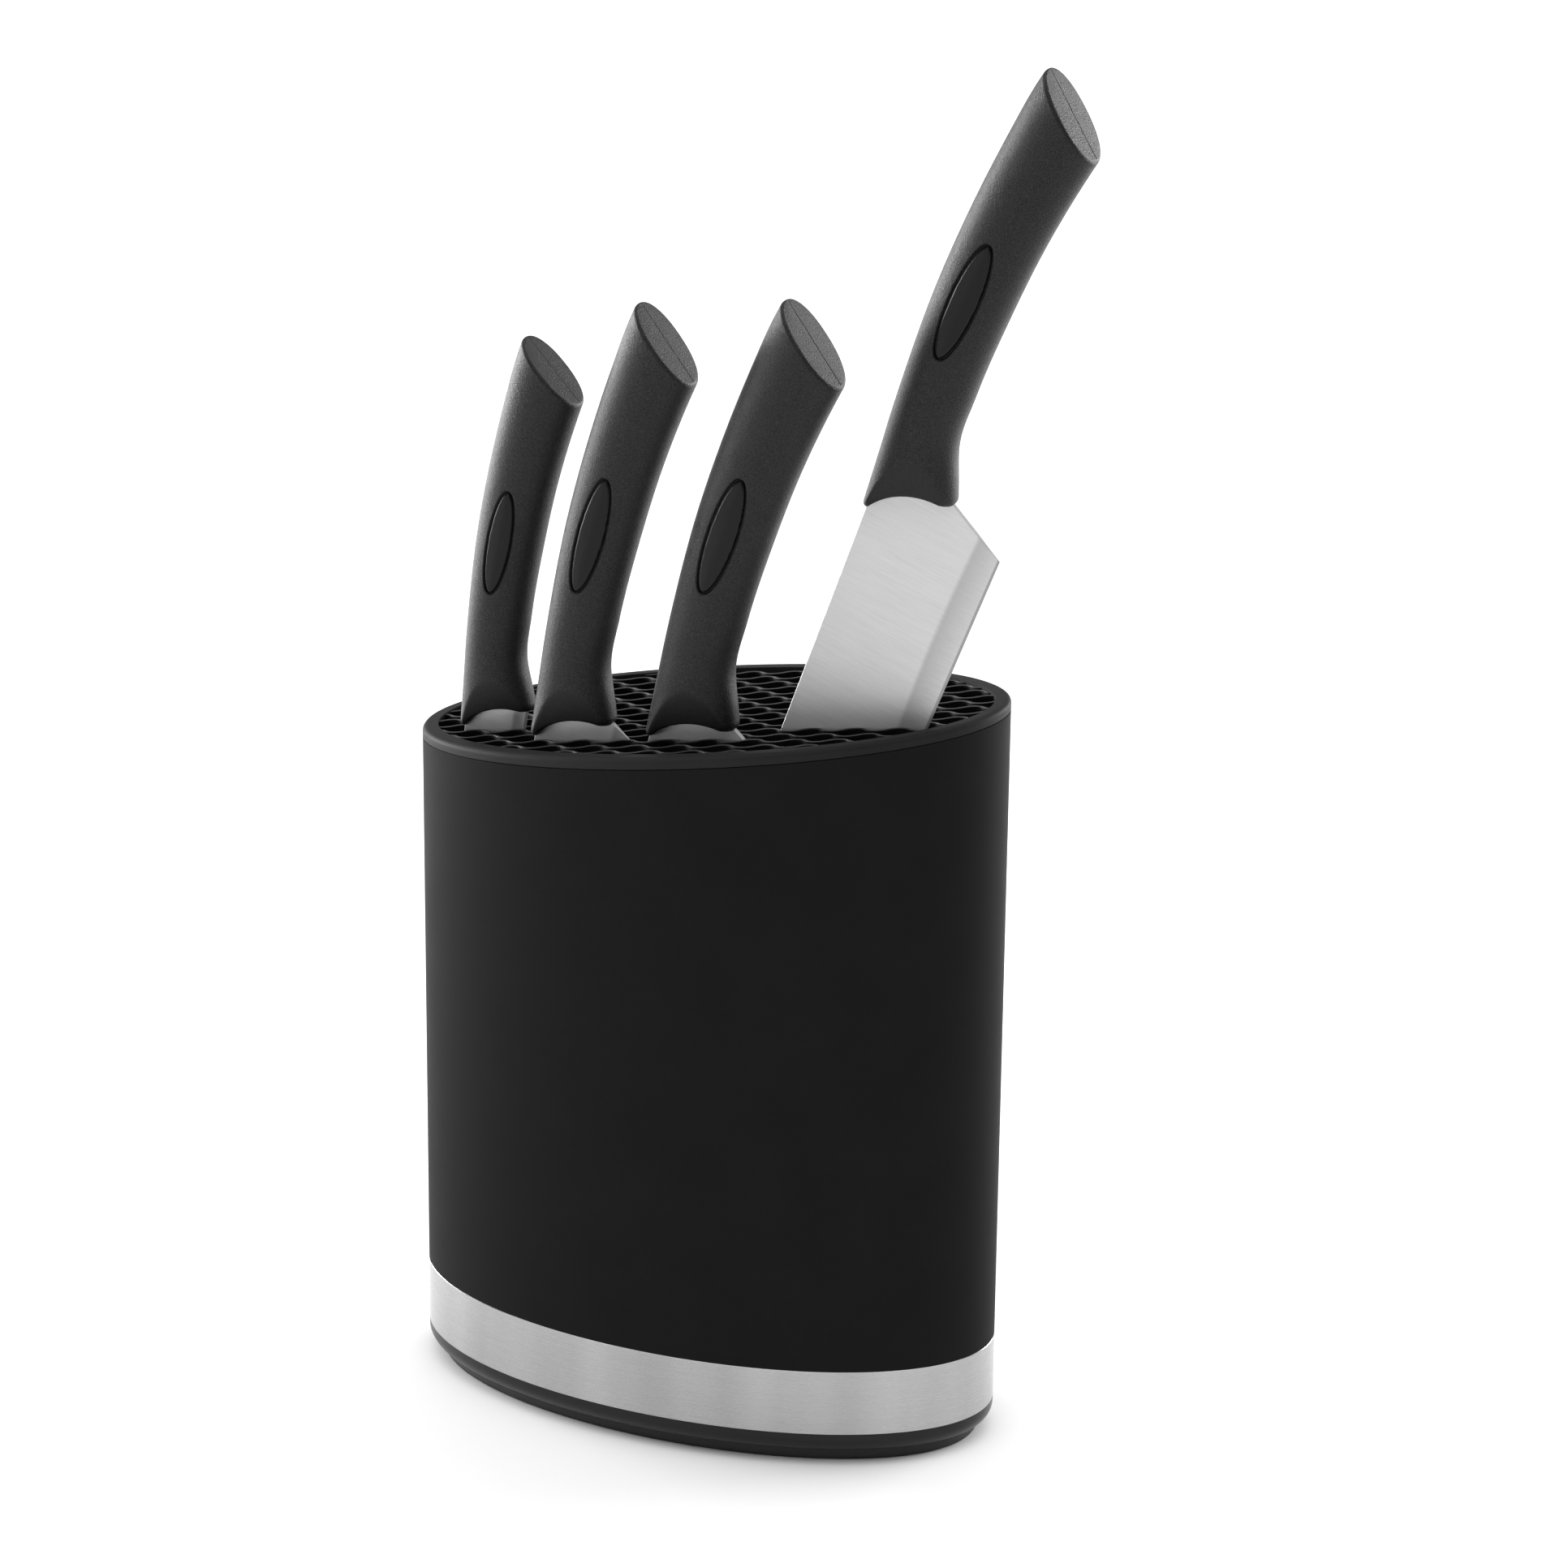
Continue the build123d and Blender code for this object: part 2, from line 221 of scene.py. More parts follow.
def brushed(name, color, roughness, metallic, turn, scale, contrast, ground=False, streaks=False):
    """Steel with fine lines drawn out by a scale, darker where it is ground by painted shade, or with faint
    upright streaks of painted reflection.
    """
    paint = Paint(name, color, roughness, metallic=metallic)
    vector = paint.stretched(turn, scale)
    fine = paint.noise(LINE_SIZE, vector, detail=3, roughness=0.65)
    broad = paint.noise(LINE_TONE_SIZE, vector, detail=4, roughness=0.7)
    darker = tuple((1 - contrast) * c for c in color)
    tone = paint.mixed(broad, darker, color)
    # painted shade, read from the mesh: darker on the blade's bevels, honed strip, chamfers and heel face
    if ground:
        tone = paint.darkened(tone, paint.attribute("ground"), GROUND_SHADE)
    # painted reflection: faint upright darker streaks at random places, standing in for brushed steel's
    # stretched reflections
    if streaks:
        uneven = paint.noise(STREAK_SIZE, paint.stretched(scale=STREAK_STRETCH), detail=2)
        tone = paint.darkened(tone, paint.ranged(uneven, 0, 1), STREAK_SHADE)
    paint.drive(tone, "Base Color")
    paint.drive(paint.ranged(fine, roughness - LINE_GLOSS, roughness + LINE_MATTE), "Roughness")
    paint.bump(fine, LINE_DEPTH)
    return paint.material


shell_plastic = soft_touch("shell_soft_touch", 0.0100, 0.0114, 0.55, grain=0.16, depth=0.006, specular=0.03)
rim_plastic = soft_touch("rim_fine_matte", 0.016, 0.020, 0.55, grain=0.3, depth=0.025, specular=0.08)
fin_plastic = soft_touch("fin_satin", 0.003, 0.005, 0.5, grain=0.22, depth=0.01, specular=0.06)
# painted highlight: a lighter copy of the fins' plastic for their tops, where they catch the light
fin_top_highlight_plastic = soft_touch("fin_top_painted_highlight", 0.022, 0.03, 0.5, grain=0.22, depth=0.01, specular=0.4)
base_plastic = soft_touch("base_satin", 0.003, 0.0045, 0.3, grain=0.25, depth=0.008, specular=0.3)
pad_rubber = soft_touch("pad_matte_rubber", 0.008, 0.012, 0.62, grain=0.5, depth=0.03)
badge_plastic = soft_touch("badge_satin", 0.003, 0.005, 0.32, grain=0.3, depth=0.004, specular=0.2)
handle_plastic = pebbled("handle_pebbled", grey(0.004), (0.023, 0.023, 0.0235), 0.46)
# the band carries the painted reflection streaks
band_steel = brushed("band_brushed", grey(0.47), 0.26, 0.8, 0, (0.01, 0.01, 1), 0.07, streaks=True)

# the base moulding and the pad keep their CAD meshes
nodes["base_moulding"].data.materials[0] = base_plastic
nodes["non_slip_pad"].data.materials[0] = pad_rubber

# ==== mesh helpers ====


def grid_faces(rows, columns, closed):
    """Quads over a grid of vertices numbered row by row. Closed joins the last column to the first."""
    across = np.arange(columns if closed else columns - 1)
    row, column = np.meshgrid(np.arange(rows - 1), across, indexing="ij")
    after = (column + 1) % columns
    this_row = row * columns
    next_row = (row + 1) * columns
    quads = (this_row + column, this_row + after, next_row + after, next_row + column)
    return np.stack(quads, axis=-1).reshape(-1, 4)


def make_object(name, points, faces, materials):
    """A smooth-shaded mesh from points in millimetres."""
    mesh = bpy.data.meshes.new(name)
    mesh.from_pydata((points * MM).tolist(), [], faces)
    for material in materials:
        mesh.materials.append(material)
    mesh.polygons.foreach_set("use_smooth", [True] * len(mesh.polygons))
    mesh.validate()
    shape = bmesh.new()
    shape.from_mesh(mesh)
    bmesh.ops.recalc_face_normals(shape, faces=shape.faces)
    shape.to_mesh(mesh)
    shape.free()
    item = bpy.data.objects.new(name, mesh)
    bpy.context.scene.collection.objects.link(item)
    return item


def add_attribute(item, name, values):
    """Stores a value on each point of a mesh, for its material to read."""
    layer = item.data.attributes.new(name, "FLOAT", "POINT")
    layer.data.foreach_set("value", values.astype(np.float32))


def use_second_material(item, chosen):
    """Gives the second material to the mesh's first faces, where chosen is true."""
    index = np.zeros(len(item.data.polygons), np.int32)
    index[:len(chosen)] = chosen
    item.data.polygons.foreach_set("material_index", index)


def stand_in(item, node, body):
    """Shows a piece in a CAD node's place."""
    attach(item, body)
    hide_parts(node)


def smooth(x, xs, ys):
    """A smooth curve through points, read at x."""
    xs, ys = np.array(xs, float), np.array(ys, float)
    slopes = np.gradient(ys, xs)
    i = np.clip(np.searchsorted(xs, x) - 1, 0, len(xs) - 2)
    width = xs[i + 1] - xs[i]
    t = (x - xs[i]) / width
    first = (1 + 2 * t) * (1 - t) ** 2 * ys[i] + t * (1 - t) ** 2 * width * slopes[i]
    second = t * t * (3 - 2 * t) * ys[i + 1] + t * t * (t - 1) * width * slopes[i + 1]
    return first + second


def smooth_step(t):
    """An S-shaped rise from 0 to 1."""
    return t * t * (3 - 2 * t)


def rounding(distance, radius):
    """How far a rounded rim lies in from the side, at a distance from the end."""
    d = np.clip(distance, 0, radius)
    return radius - np.sqrt(radius ** 2 - (radius - d) ** 2)


def spread(*stretches):
    """Values along stretches given as (start, end, step), each end shared with the next."""
    parts = []
    for start, end, step in stretches:
        count = max(2, round((end - start) / step))
        parts.append(np.linspace(start, end, count, endpoint=False))
    return np.concatenate(parts + [[stretches[-1][1]]])


# ==== shell, band and insert frame ====

HALF_LENGTH = 87.49       # of the oval at the rim
HALF_WIDTH = 47.39
FOOT_SCALE = 0.989        # size of the oval at the floor, against the rim
TOP_SLOPE = radians(9.0)
RIM_HEIGHT = 202.8        # of the top at its middle
RIM_THICKNESS = 3.2
RIM_WIDTH = 4.5
RIM_ROUNDING = 1.6
RIM_ARC_POINTS = 8
SLEEVE_WALL = 2.0
SLEEVE_BOTTOM = 20.0
LEDGE_THICKNESS = 2.0
LEDGE_WIDTH = 3.0
SHELL_WALL = 2.0
SHELL_DROP = 3.35         # from the top down to the shell
BASE_TOP = 9.5
BAND_TOP = 28.5
BAND_THICKNESS = 0.6
EASE = 0.15               # bevel on the edges that CAD leaves sharp
COLUMN_STEPS = 360
SHARP_ANGLE = radians(40)


def column_point(turn, inset, level):
    """A point of the oval column, which widens slightly upwards.

    A level above zero is a height. Any other level is taken from the slanted top.
    """
    height = np.where(level > 0, level, RIM_HEIGHT)
    for _ in range(3):
        scale = FOOT_SCALE + (1 - FOOT_SCALE) * height / RIM_HEIGHT
        x = (HALF_LENGTH * scale - inset) * np.cos(turn)
        y = (HALF_WIDTH * scale - inset) * np.sin(turn)
        height = np.where(level > 0, level, RIM_HEIGHT + level + x * tan(TOP_SLOPE))
    return x, y, height


def make_column(node, body, material, profile):
    """A tube round the block's axis, from its closed profile of insets and levels."""
    turn = np.linspace(0, 2 * pi, COLUMN_STEPS, endpoint=False)
    loops = [np.stack(column_point(turn, inset, level), axis=-1) for inset, level in profile]
    points = np.concatenate(loops + [loops[0]])
    faces = grid_faces(len(loops) + 1, len(turn), True).tolist()
    item = make_object(f"{node}_piece", points, faces, [material])
    item.data.set_sharp_from_angle(angle=SHARP_ANGLE)
    stand_in(item, node, body)


def rim_arc():
    """The rounding of the rim's outer edge, from the side up to the top."""
    turns = np.linspace(0, pi / 2, RIM_ARC_POINTS)
    return [(RIM_ROUNDING * (1 - cos(turn)), -RIM_ROUNDING * (1 - sin(turn))) for turn in turns]


make_column("steel_band", "block", band_steel, (
    (BAND_THICKNESS, BASE_TOP),
    (BAND_THICKNESS, BAND_TOP),
    (EASE, BAND_TOP),
    (0, BAND_TOP - EASE),
    (0, BASE_TOP + EASE),
    (EASE, BASE_TOP),
))
make_column("body_shell", "block", shell_plastic, (
    (BAND_THICKNESS, BASE_TOP),
    (BAND_THICKNESS, BAND_TOP),
    (EASE, BAND_TOP),
    (0, BAND_TOP + EASE),
    (0, -SHELL_DROP - EASE),
    (EASE, -SHELL_DROP),
    (SHELL_WALL - EASE, -SHELL_DROP),
    (SHELL_WALL, -SHELL_DROP - EASE),
    (SHELL_WALL, BASE_TOP),
))
make_column("insert_frame", "insert", rim_plastic, (
    (EASE, -RIM_THICKNESS),
    (0, EASE - RIM_THICKNESS),
    *rim_arc(),
    (RIM_WIDTH - EASE, 0),
    (RIM_WIDTH, -EASE),
    (RIM_WIDTH, SLEEVE_BOTTOM + LEDGE_THICKNESS),
    (RIM_WIDTH + LEDGE_WIDTH, SLEEVE_BOTTOM + LEDGE_THICKNESS),
    (RIM_WIDTH + LEDGE_WIDTH, SLEEVE_BOTTOM),
    (RIM_WIDTH - SLEEVE_WALL, SLEEVE_BOTTOM),
    (RIM_WIDTH - SLEEVE_WALL, -RIM_THICKNESS),
))

# ==== fins ====

FIN_COUNT = 16
FIN_PITCH = 5.2
FIN_THICKNESS = 0.8
HALF_WAVE = 6.45
FIN_AMPLITUDE = 1.2
FIN_PHASE = -6.25         # X of the crest that the waves are counted from
FIN_RECESS = 0.45         # of the fins' tops below the rim's
FIN_EDGE = 0.14           # rounding of a fin's two top edges
FIN_EDGE_POINTS = 5
FIN_STEP = 0.43           # mesh size along a fin
FIN_SHOULDER = 30         # drop of the one row of points between a fin's top and its bottom
OPENING = (84.1, 44.0)    # half sizes of the oval, inside the sleeve's wall, that the fins end on
FIN_RADIUS = (HALF_WAVE ** 2 / 4 + FIN_AMPLITUDE ** 2) / (2 * FIN_AMPLITUDE)


def fin_line(row):
    """The middle line of a fin, in arcs of one radius, and how far it leans from X."""
    x = np.arange(-OPENING[0], OPENING[0], FIN_STEP)
    turn = np.round((x - FIN_PHASE) / HALF_WAVE)
    past = x - FIN_PHASE - turn * HALF_WAVE
    bend = np.where((row + turn) % 2 == 0, 1.0, -1.0)
    rest = ((FIN_COUNT - 1) / 2 - row) * FIN_PITCH
    y = rest + bend * (np.sqrt(FIN_RADIUS ** 2 - past ** 2) - FIN_RADIUS + FIN_AMPLITUDE)
    lean = np.arcsin(np.clip(past / FIN_RADIUS, -1, 1)) * bend
    outside = np.flatnonzero((x / OPENING[0]) ** 2 + (y / OPENING[1]) ** 2 > 1)
    middle = len(x) / 2
    first = outside[outside < middle].max(initial=-1) + 1
    end = outside[outside > middle].min(initial=len(x))
    return x[first:end], y[first:end], lean[first:end]


def fin_section():
    """Places across a fin and drops below its top, from one foot over the top to the other.

    A foot's drop is nan, because the bottom is level and the top is not.
    """
    half = FIN_THICKNESS / 2
    turns = np.linspace(0, pi / 2, FIN_EDGE_POINTS)
    side = np.concatenate([[half, half], half - FIN_EDGE * (1 - np.cos(turns))])
    drop = np.concatenate([[np.nan, FIN_SHOULDER], FIN_EDGE * (1 - np.sin(turns))])
    return np.concatenate([side, -side[::-1]]), np.concatenate([drop, drop[::-1]])


def make_fin(row):
    """A wavy fin with rounded top edges, standing where its CAD node does."""
    node = f"fin_{row + 1:02d}"
    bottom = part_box(node)[0].z / MM
    x, y, lean = fin_line(row)
    side, drop = fin_section()
    top = RIM_HEIGHT - FIN_RECESS + x * tan(TOP_SLOPE)
    px = x[:, None] + side[None, :] * np.sin(lean)[:, None]
    py = y[:, None] + side[None, :] * np.cos(lean)[:, None]
    pz = top[:, None] - drop[None, :]
    pz = np.where(np.isnan(pz), bottom, pz)
    points = np.stack([px, py, pz], axis=-1).reshape(-1, 3)
    columns = len(side)
    last = (len(x) - 1) * columns
    faces = grid_faces(len(x), columns, True).tolist()
    faces.append(list(range(columns)))
    faces.append(list(range(last, last + columns))[::-1])
    item = make_object(f"{node}_piece", points, faces, [fin_plastic, fin_top_highlight_plastic])
    strip = np.arange(last) % columns
    # the faces across each fin's top take the lighter material, a painted highlight
    use_second_material(item, (strip > 1) & (strip < columns - 3))
    stand_in(item, node, "insert")


for row in range(FIN_COUNT):
    make_fin(row)

# ==== knives ====

TANG_TOP = 86.0           # of the cook's tang, along its knife
SPINE_LINE = 0.9          # of every blade, from the knife's own axis


class Knife:
    """A knife's own frame, read from its CAD blade and its joint.

    E is across, from the spine's side, and U is along, up from the foot of the handle.
    Every handle is one common drawing, with a scale along and one across. Its badge sits
    a badge_drop lower than on the cook's.
    """

    def __init__(self, name, length_scale, width_scale, badge_drop):
        self.name = name
        self.body = f"{name}_knife"
        self.length_scale = length_scale
        self.width_scale = width_scale
        self.badge_drop = badge_drop
        joint = next(j for j in frame["joints"] if j["child"] == self.body)
        self.along = np.array(joint["axis"])
        self.across = np.array((self.along[2], 0, -self.along[0]))
        blade = nodes[f"{name}_blade"].data
        points = np.empty(len(blade.vertices) * 3)
        blade.vertices.foreach_get("co", points)
        points = points.reshape(-1, 3) / MM
        e0 = (points @ self.across).min() - SPINE_LINE
        u0 = (points @ self.along).max() - TANG_TOP * length_scale
        y0 = (points[:, 1].min() + points[:, 1].max()) / 2
        self.origin = self.across * e0 + self.along * u0 + np.array((0, y0, 0))

    def place(self, e, y, u):
        """Points of the common drawing, with its scales, in the frame."""
        e = np.asarray(e)[..., None] * self.width_scale
        u = np.asarray(u)[..., None] * self.length_scale
        y = np.asarray(y)[..., None] * self.width_scale
        return self.origin + e * self.across + u * self.along + y * np.array((0, 1, 0))


KNIVES = (
    Knife("cooks", 1.0, 1.0, 0),
    Knife("santoku", 0.994, 1.03, 1.4),
    Knife("utility", 0.973, 0.965, 1.4),
    Knife("paring", 0.863, 0.88, 1.0),
)

# ==== handles ====

# Stations of the common handle: U along it, E of its spine and belly sides, half thickness.
HANDLE_U = (-6, 8, 17, 28, 42, 66, 91, 116, 128, 140)
HANDLE_SPINE = (0.2, -0.6, -1.1, -1.8, -2.4, -2.7, -1.4, 1.3, 3.0, 5.6)
HANDLE_BELLY = (29.0, 26.0, 22.6, 18.5, 18.0, 19.0, 21.4, 25.8, 28.6, 31.4)
HANDLE_HALF = (7.4, 7.6, 7.8, 8.0, 8.4, 8.8, 8.8, 8.8, 8.8, 8.8)
FOOT_SPINE = (1.0, -0.4)  # E and U of the foot's two ends
FOOT_BELLY = (22.5, 12.5)
FOOT_RISE = 3.7           # of the hollow foot line at its middle
FOOT_FADE = 0.2           # share of the handle over which the foot's arch dies out
FOOT_ROUND = 0.6
HORN_ROUND = 1.9
FOOT_REACH = 103.0        # distance that s from 0 to 1 would cover, at the foot and at the butt
BUTT_REACH = 90.0
APEX_U = 135.0            # of the butt's two ends
BUTT_LOW_U = 117.6
BUTT_TILT = radians(41.2)
BUTT_ROUND = 0.9
SECTION_POWER = 2.2       # 2 is an ellipse
FACET_HALF = 4.2          # half thickness between the pinch facets at the foot
FACET_SLOPE = tan(radians(15.6))
FACET_BLEND = 0.12
PINCH_CALM = 0.7          # how much of the grain is missing on the facets
PINCH_FADE = 0.3          # depth over which it goes
BADGE_CENTRE = (8.3, 68.7)
BADGE_SIZE = (4.0, 17.6)  # half width and half length to the middle of the groove
BADGE_TILT = radians(3.6)
BADGE_CROWN = 0.15
GROOVE_HALF = 0.55
GROOVE_WALL = 0.35
GROOVE_DEPTH = 1.0
GROOVE_INSIDE = 0.8       # share of the groove's outer half that has the badge's material
MOULD_LINE = 0.08         # depth and half width of the line down the butt
MOULD_LINE_HALF = 0.16
MOULD_LINE_TAPER = 5      # it is narrower where the butt is under this many half widths across
FINE = 0.24               # mesh size round the badge
SEAM = 0.012              # turn from the spine and the belly to the first points
FLANK = 1.0               # turn from the spine and the belly to the fine mesh
FLANK_SINE = 0.5          # the badge's relief stays where the sine of the turn is more
MEAN_RADIUS = 10.5
MEAN_LENGTH = 120
# Start, end and step of the rows along the handle: close where it is rounded and round the badge.
HANDLE_ROWS = (
    (0, 0.001, 0.00025),
    (0.001, 0.013, 0.0015),
    (0.013, 0.16, 0.0035),
    (0.16, 0.33, 0.007),
    (0.33, 0.71, FINE / MEAN_LENGTH),
    (0.71, 0.985, 0.012),
    (0.985, 0.999, 0.0014),
    (0.999, 1.0, 0.00025),
)
# The same round one side, from the spine to the belly.
HANDLE_SIDE = (
    (SEAM, FLANK, 0.06),
    (FLANK, pi - FLANK, FINE / MEAN_RADIUS),
    (pi - FLANK, pi - SEAM, 0.06),
)
# Places across the moulding line, in its half widths, with their depths.
MOULD_PROFILE = ((3, 0), (1, 0), (0.4, MOULD_LINE), (-0.4, MOULD_LINE), (-1, 0), (-3, 0))


def pinched(e, u, full):
    """Half thickness cut down by the pinch facets, which narrow towards the foot, and their share."""
    foot = np.array(FOOT_BELLY) - np.array(FOOT_SPINE)
    foot = foot / np.hypot(*foot)
    above = (e - FOOT_SPINE[0]) * -foot[1] + (u - FOOT_SPINE[1]) * foot[0]
    facet = FACET_HALF + FACET_SLOPE * np.maximum(above, 0)
    # the limits keep exp in range
    gap = np.clip((full - facet) / FACET_BLEND, -40, 40)
    limited = full - FACET_BLEND * np.log1p(np.exp(gap))
    return limited, np.clip(gap * FACET_BLEND / PINCH_FADE + 0.5, 0, 1)


def handle_point(s, turn):
    """A point of the plain handle and its calmness, s from foot to butt, turn from the spine."""
    spine_u = FOOT_SPINE[1] + (APEX_U - FOOT_SPINE[1]) * s
    belly_u = FOOT_BELLY[1] + (BUTT_LOW_U - FOOT_BELLY[1]) * s
    spine_e = smooth(spine_u, HANDLE_U, HANDLE_SPINE)
    belly_e = smooth(belly_u, HANDLE_U, HANDLE_BELLY)
    mid_u = (spine_u + belly_u) / 2
    half = smooth(mid_u, HANDLE_U, HANDLE_HALF)
    chord_e, chord_u = belly_e - spine_e, belly_u - spine_u
    length = np.hypot(chord_e, chord_u)
    tilt = np.arctan2(chord_u, chord_e)
    to_foot = s * FOOT_REACH
    to_butt = (1 - s) * BUTT_REACH
    in_chord = rounding(to_foot, HORN_ROUND) + rounding(to_butt, BUTT_ROUND)
    in_thick = rounding(to_foot, FOOT_ROUND) + rounding(to_butt, BUTT_ROUND)
    power = 2 / SECTION_POWER
    c, d = np.cos(turn), np.sin(turn)
    along = -np.sign(c) * np.abs(c) ** power
    across = np.sign(d) * np.abs(d) ** power
    t = along * (length / 2 - in_chord)
    rise = FOOT_RISE * (1 - along ** 2) * np.clip(1 - s / FOOT_FADE, 0, 1) ** 2
    e = (spine_e + belly_e) / 2 + t * np.cos(tilt) - rise * np.sin(tilt)
    u = mid_u + t * np.sin(tilt) + rise * np.cos(tilt)
    limited, share = pinched(e, u, np.abs(across) * half)
    y = np.sign(across) * np.maximum(limited - in_thick * np.abs(across), 0)
    return e, u, y, PINCH_CALM * share


def badge_distance(e, u):
    """Roughly how far a point is outside the badge's oval."""
    e, u = e - BADGE_CENTRE[0], u - BADGE_CENTRE[1]
    x = (e * cos(BADGE_TILT) - u * sin(BADGE_TILT)) / BADGE_SIZE[0]
    y = (e * sin(BADGE_TILT) + u * cos(BADGE_TILT)) / BADGE_SIZE[1]
    q = np.sqrt(x ** 2 + y ** 2) + 1e-9
    slope = np.sqrt((x / BADGE_SIZE[0]) ** 2 + (y / BADGE_SIZE[1]) ** 2) / q
    return (q - 1) / (slope + 1e-9)


def badge_relief(distance):
    """Depth of the groove round the badge, less the crown of its middle."""
    wall = np.clip((GROOVE_HALF - np.abs(distance)) / GROOVE_WALL, 0, 1)
    crown = BADGE_CROWN * np.clip(-(distance + GROOVE_HALF) / BADGE_SIZE[0], 0, 1)
    return GROOVE_DEPTH * smooth_step(wall) - crown


def mould_line(e, u, y, half):
    """Points of the faint moulding line down the butt, given the last row of points."""
    first, second = slice(None, half), slice(None, half - 1, -1)
    middle_e = (e[first] + e[second]) / 2
    middle_u = (u[first] + u[second]) / 2
    width = np.minimum(MOULD_LINE_HALF, np.abs(y[first]) / MOULD_LINE_TAPER)
    lines = [(middle_e - depth * sin(BUTT_TILT), width * offset, middle_u - depth * cos(BUTT_TILT))
             for offset, depth in MOULD_PROFILE]
    return [np.concatenate(part) for part in zip(*lines)]


def cap_faces(first, ring, added, lines):
    """Strips across an end ring: its own vertices, then the added ones that lie between its sides."""
    half = ring // 2
    columns = [[first + i for i in range(half)]]
    columns += [[added + k * half + i for i in range(half)] for k in range(lines)]
    columns += [[first + ring - 1 - i for i in range(half)]]
    return [[a[i], a[i + 1], b[i + 1], b[i]] for a, b in zip(columns, columns[1:]) for i in range(half - 1)]


def make_handle(knife):
    """A knife's handle: body, rounded foot and butt, pinch facets, and a badge on both sides."""
    rows = spread(*HANDLE_ROWS)
    side = spread(*HANDLE_SIDE)
    turns = np.concatenate([side, pi + side])
    s, turn = np.meshgrid(rows, turns, indexing="ij")
    e, u, y, pinch = handle_point(s, turn)
    distance = badge_distance(e, u + knife.badge_drop)
    on_side = np.abs(np.sin(turn)) > FLANK_SINE
    y = y - np.where(on_side, np.sign(y) * badge_relief(distance), 0)
    ring = len(turns)
    body = knife.place(e, y, u).reshape(-1, 3)
    line = knife.place(*mould_line(e[-1], u[-1], y[-1], len(side)))
    faces = grid_faces(len(rows), ring, True)
    butt = cap_faces((len(rows) - 1) * ring, ring, len(body), len(MOULD_PROFILE))
    foot = [face[::-1] for face in cap_faces(0, ring, 0, 0)]
    item = make_object(f"{knife.name}_handle_piece", np.concatenate([body, line]),
                       faces.tolist() + butt + foot, [handle_plastic, badge_plastic])
    in_badge = distance.reshape(-1)[faces].mean(axis=1) < GROOVE_HALF * GROOVE_INSIDE
    use_second_material(item, in_badge & on_side.reshape(-1)[faces].all(axis=1))
    add_attribute(item, "pinch", np.concatenate([pinch.reshape(-1), np.zeros(len(line))]))
    stand_in(item, f"{knife.name}_handle", knife.body)


# ==== blades ====

BLADE_HALF = 0.75
EDGE_HALF = 0.1
MICRO_BEVEL = 0.9         # width of the honed strip along the cutting edge
MICRO_HALF = 0.24
HOLLOW = 1.7              # 1 is a flat bevel, more is hollow ground
BEVEL_BLEND = 0.9         # distance over which the bevel starts
BLADE_CHAMFER = 0.12      # of the spine and the heel's upper edge
LEAST_HALF = 0.02
EDGE_BELLY = 1.5          # bulge of the edge's curve towards the tip
# How dark the painted shade of the ground faces is, from 0 to 1.
BEVEL_SHADE = (0.15, 0.5)  # at the honed strip, and how much more where the bevel starts
HONED_SHADE = 0.95
SPINE_SHADE = 0.3
CHAMFER_SHADE = 0.6
HEEL_SHADE = 1.0
# Mesh steps along the curved and the straight part of a blade's outline, and across its flat.
CURVE_POINTS = 32
STRAIGHT_POINTS = 24
FLAT_POINTS = 6
SPLIT_ANGLE = radians(25)


def bezier(start, bend, end, t):
    """A quadratic curve, read at t."""
    t = t[:, None]
    return (1 - t) ** 2 * start + 2 * t * (1 - t) * np.array(bend) + t ** 2 * end


def half_thickness(inside, bevel):
    """Half the blade's thickness at a distance in from its cutting edge."""
    micro = EDGE_HALF + (MICRO_HALF - EDGE_HALF) * inside / MICRO_BEVEL
    share = np.clip((inside - MICRO_BEVEL) / (bevel - MICRO_BEVEL), 0, None)
    ground = MICRO_HALF + (BLADE_HALF - MICRO_HALF) * share ** HOLLOW
    blend = BEVEL_BLEND / 8
    eased = BLADE_HALF - blend * np.log1p(np.exp((BLADE_HALF - ground) / blend))
    return np.where(inside < MICRO_BEVEL, micro, eased)


def grind_shade_share(inside, bevel):
    """How dark the painted shade of the grinding is: none on the flat, most where the bevel starts and on
    the edge.
    """
    share = np.clip((inside - MICRO_BEVEL) / (bevel - MICRO_BEVEL), 0, 1)
    flat = np.clip((bevel + BEVEL_BLEND - inside) / (2 * BEVEL_BLEND), 0, 1)
    main = (BEVEL_SHADE[0] + BEVEL_SHADE[1] * share) * smooth_step(flat)
    return np.where(inside < MICRO_BEVEL, HONED_SHADE, main)


def blade_outline(shape):
    """Matching points of a blade's spine and edge from the tip up, and the slope of its heel."""
    spine_turn, tip, edge_turn, heel, heel_top = (np.array(part, float) for part in shape)
    slope = (heel_top[1] - heel[1]) / (heel[0] - heel_top[0])
    shoulder = np.array((SPINE_LINE, heel[1] + slope * (heel[0] - SPINE_LINE)))
    spine_start = np.array((SPINE_LINE, spine_turn))
    spine_bend = (SPINE_LINE, (spine_turn + tip[1]) / 2)
    edge_bend = (edge_turn[0] - EDGE_BELLY, (2 * tip[1] + edge_turn[1]) / 3)
    curved = np.linspace(0, 1, CURVE_POINTS)
    straight = np.linspace(0, 1, STRAIGHT_POINTS)[1:, None]
    spine = np.concatenate([bezier(tip, spine_bend, spine_start, curved),
                            spine_start + (shoulder - spine_start) * straight])
    edge = np.concatenate([bezier(tip, edge_bend, edge_turn, curved),
                           edge_turn + (heel - edge_turn) * straight])
    return spine, edge, slope


